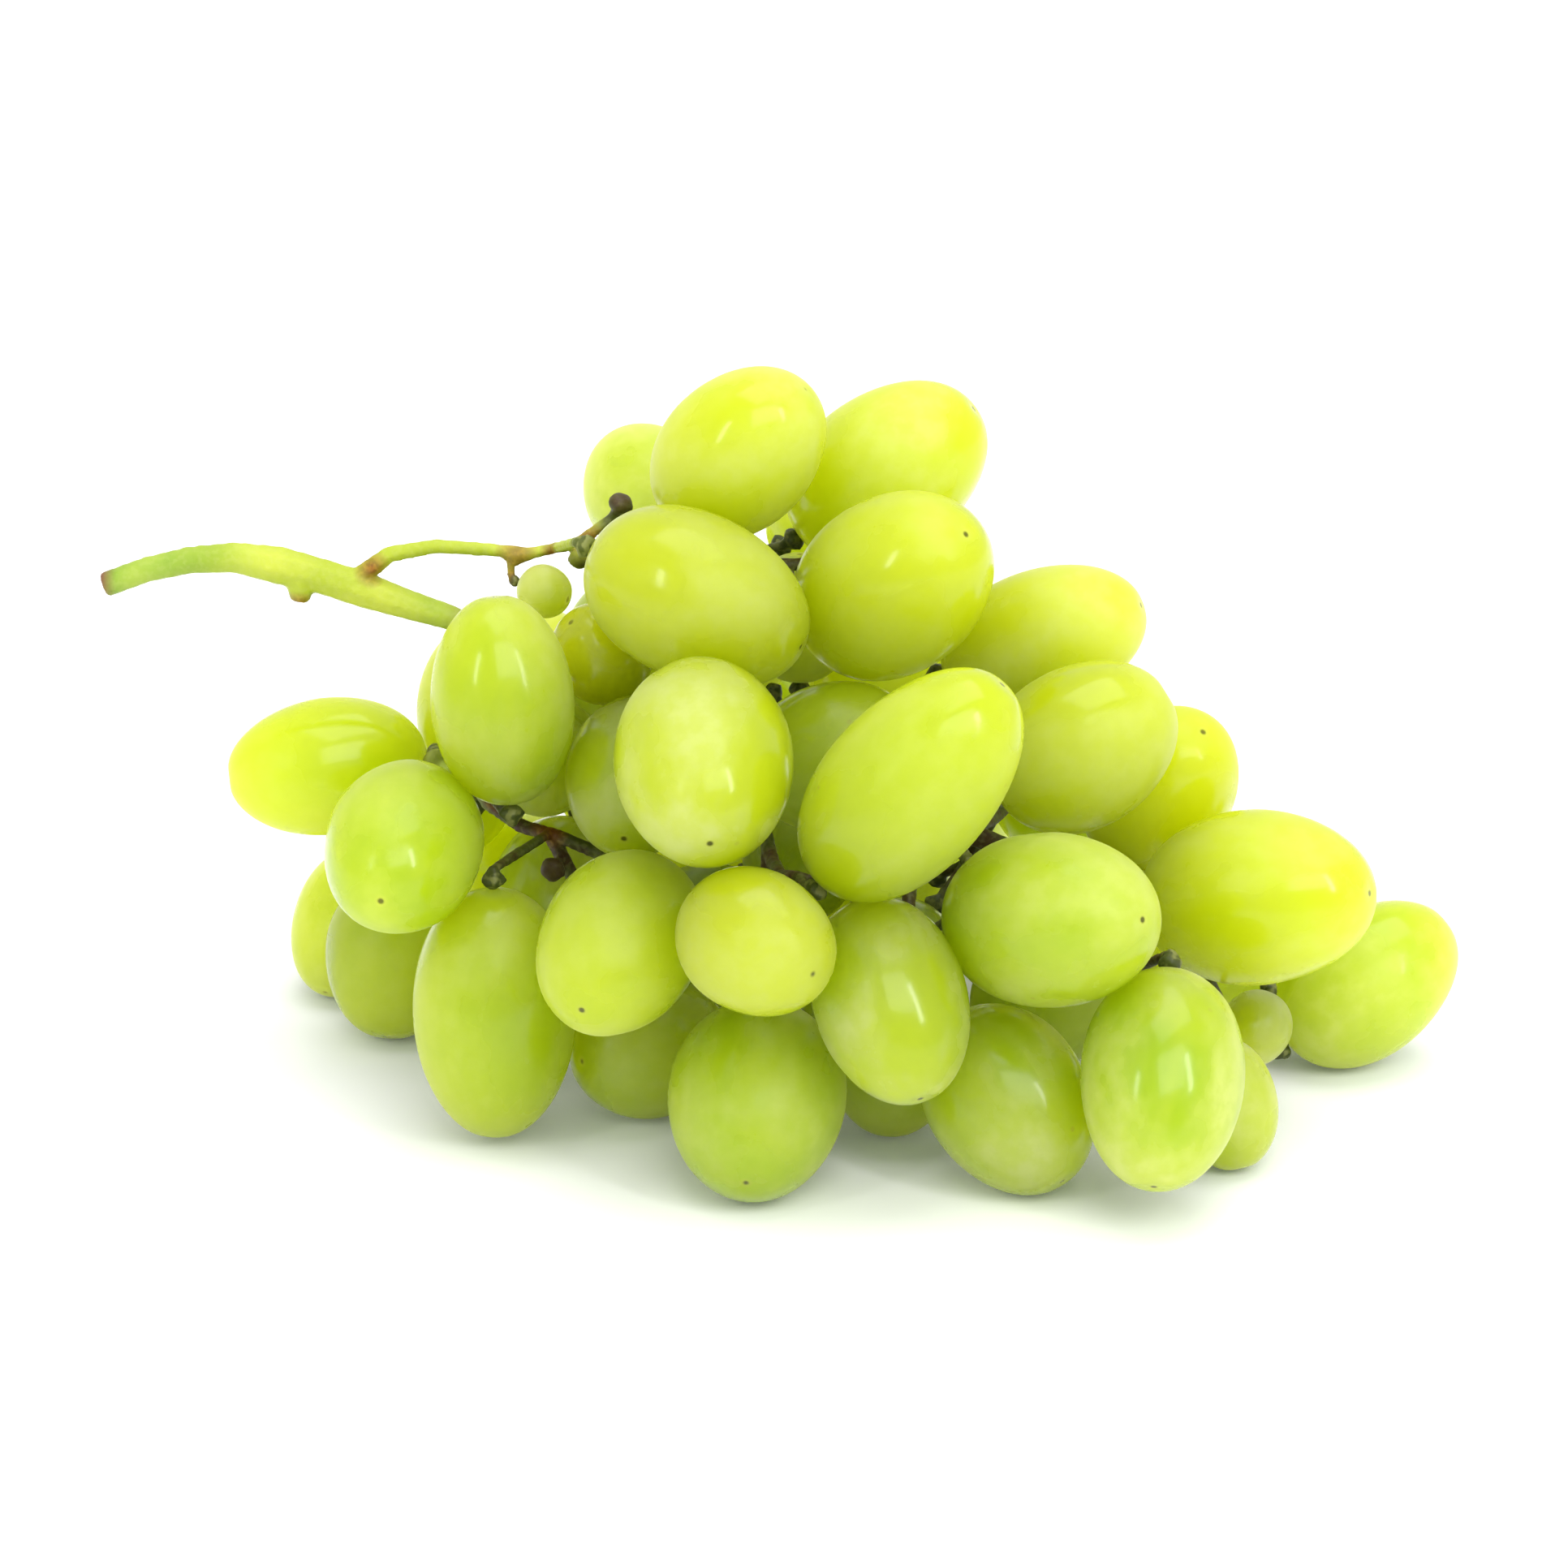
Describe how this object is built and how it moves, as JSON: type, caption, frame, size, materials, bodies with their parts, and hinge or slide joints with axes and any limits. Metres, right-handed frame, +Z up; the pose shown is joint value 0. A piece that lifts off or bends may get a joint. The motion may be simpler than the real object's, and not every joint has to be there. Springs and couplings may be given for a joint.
{
  "type": "bunch of grapes",
  "caption": "Bunch of large oval green table grapes on a branched stalk with a bare cut end, lying on its side as picked.",
  "frame": {"origin": "middle of the bunch's footprint, on the surface that it lies on", "axes": "+X from the cut end to the tip of the bunch, +Y to its back, +Z up"},
  "size_m": [0.182, 0.1232, 0.0969],
  "materials": {
    "berry": "taut translucent yellow-green skin with a faint waxy bloom",
    "stalk": "smooth pale green stem, browner at the cut end, the fork and the pedicels"
  },
  "bodies": {
    "root": {"stalk": "stalk", "wing_berry_1": "berry", "wing_berry_2": "berry", "wing_berry_3": "berry", "wing_berry_4": "berry", "wing_berry_5": "berry", "wing_berry_6": "berry", "wing_berry_7": "berry", "left_berry_1": "berry", "left_berry_2": "berry", "left_berry_3": "berry", "left_berry_4": "berry", "left_berry_5": "berry", "left_berry_6": "berry", "left_berry_7": "berry", "front_left_berry_1": "berry", "front_left_berry_2": "berry", "front_left_berry_3": "berry", "front_left_berry_4": "berry", "front_left_berry_5": "berry", "front_left_berry_6": "berry", "front_left_berry_7": "berry", "front_berry_1": "berry", "front_berry_2": "berry", "front_berry_3": "berry", "front_berry_4": "berry", "front_berry_5": "berry", "front_berry_6": "berry", "front_right_berry_1": "berry", "front_right_berry_2": "berry", "front_right_berry_3": "berry", "front_right_berry_4": "berry", "front_right_berry_5": "berry", "right_berry_1": "berry", "right_berry_2": "berry", "right_berry_3": "berry", "right_berry_4": "berry", "tip_berry_1": "berry", "tip_berry_2": "berry", "tip_berry_3": "berry", "tip_berry_4": "berry", "tip_berry_5": "berry", "back_left_berry_1": "berry", "back_left_berry_2": "berry", "back_left_berry_3": "berry", "back_left_berry_4": "berry", "back_left_berry_5": "berry", "back_berry_1": "berry", "back_berry_2": "berry", "back_berry_3": "berry", "back_berry_4": "berry", "back_berry_5": "berry", "back_berry_6": "berry", "back_berry_7": "berry", "back_berry_8": "berry", "back_right_berry_1": "berry", "back_right_berry_2": "berry", "back_right_berry_3": "berry", "back_right_berry_4": "berry", "back_right_berry_5": "berry"}
  },
  "joints": []
}
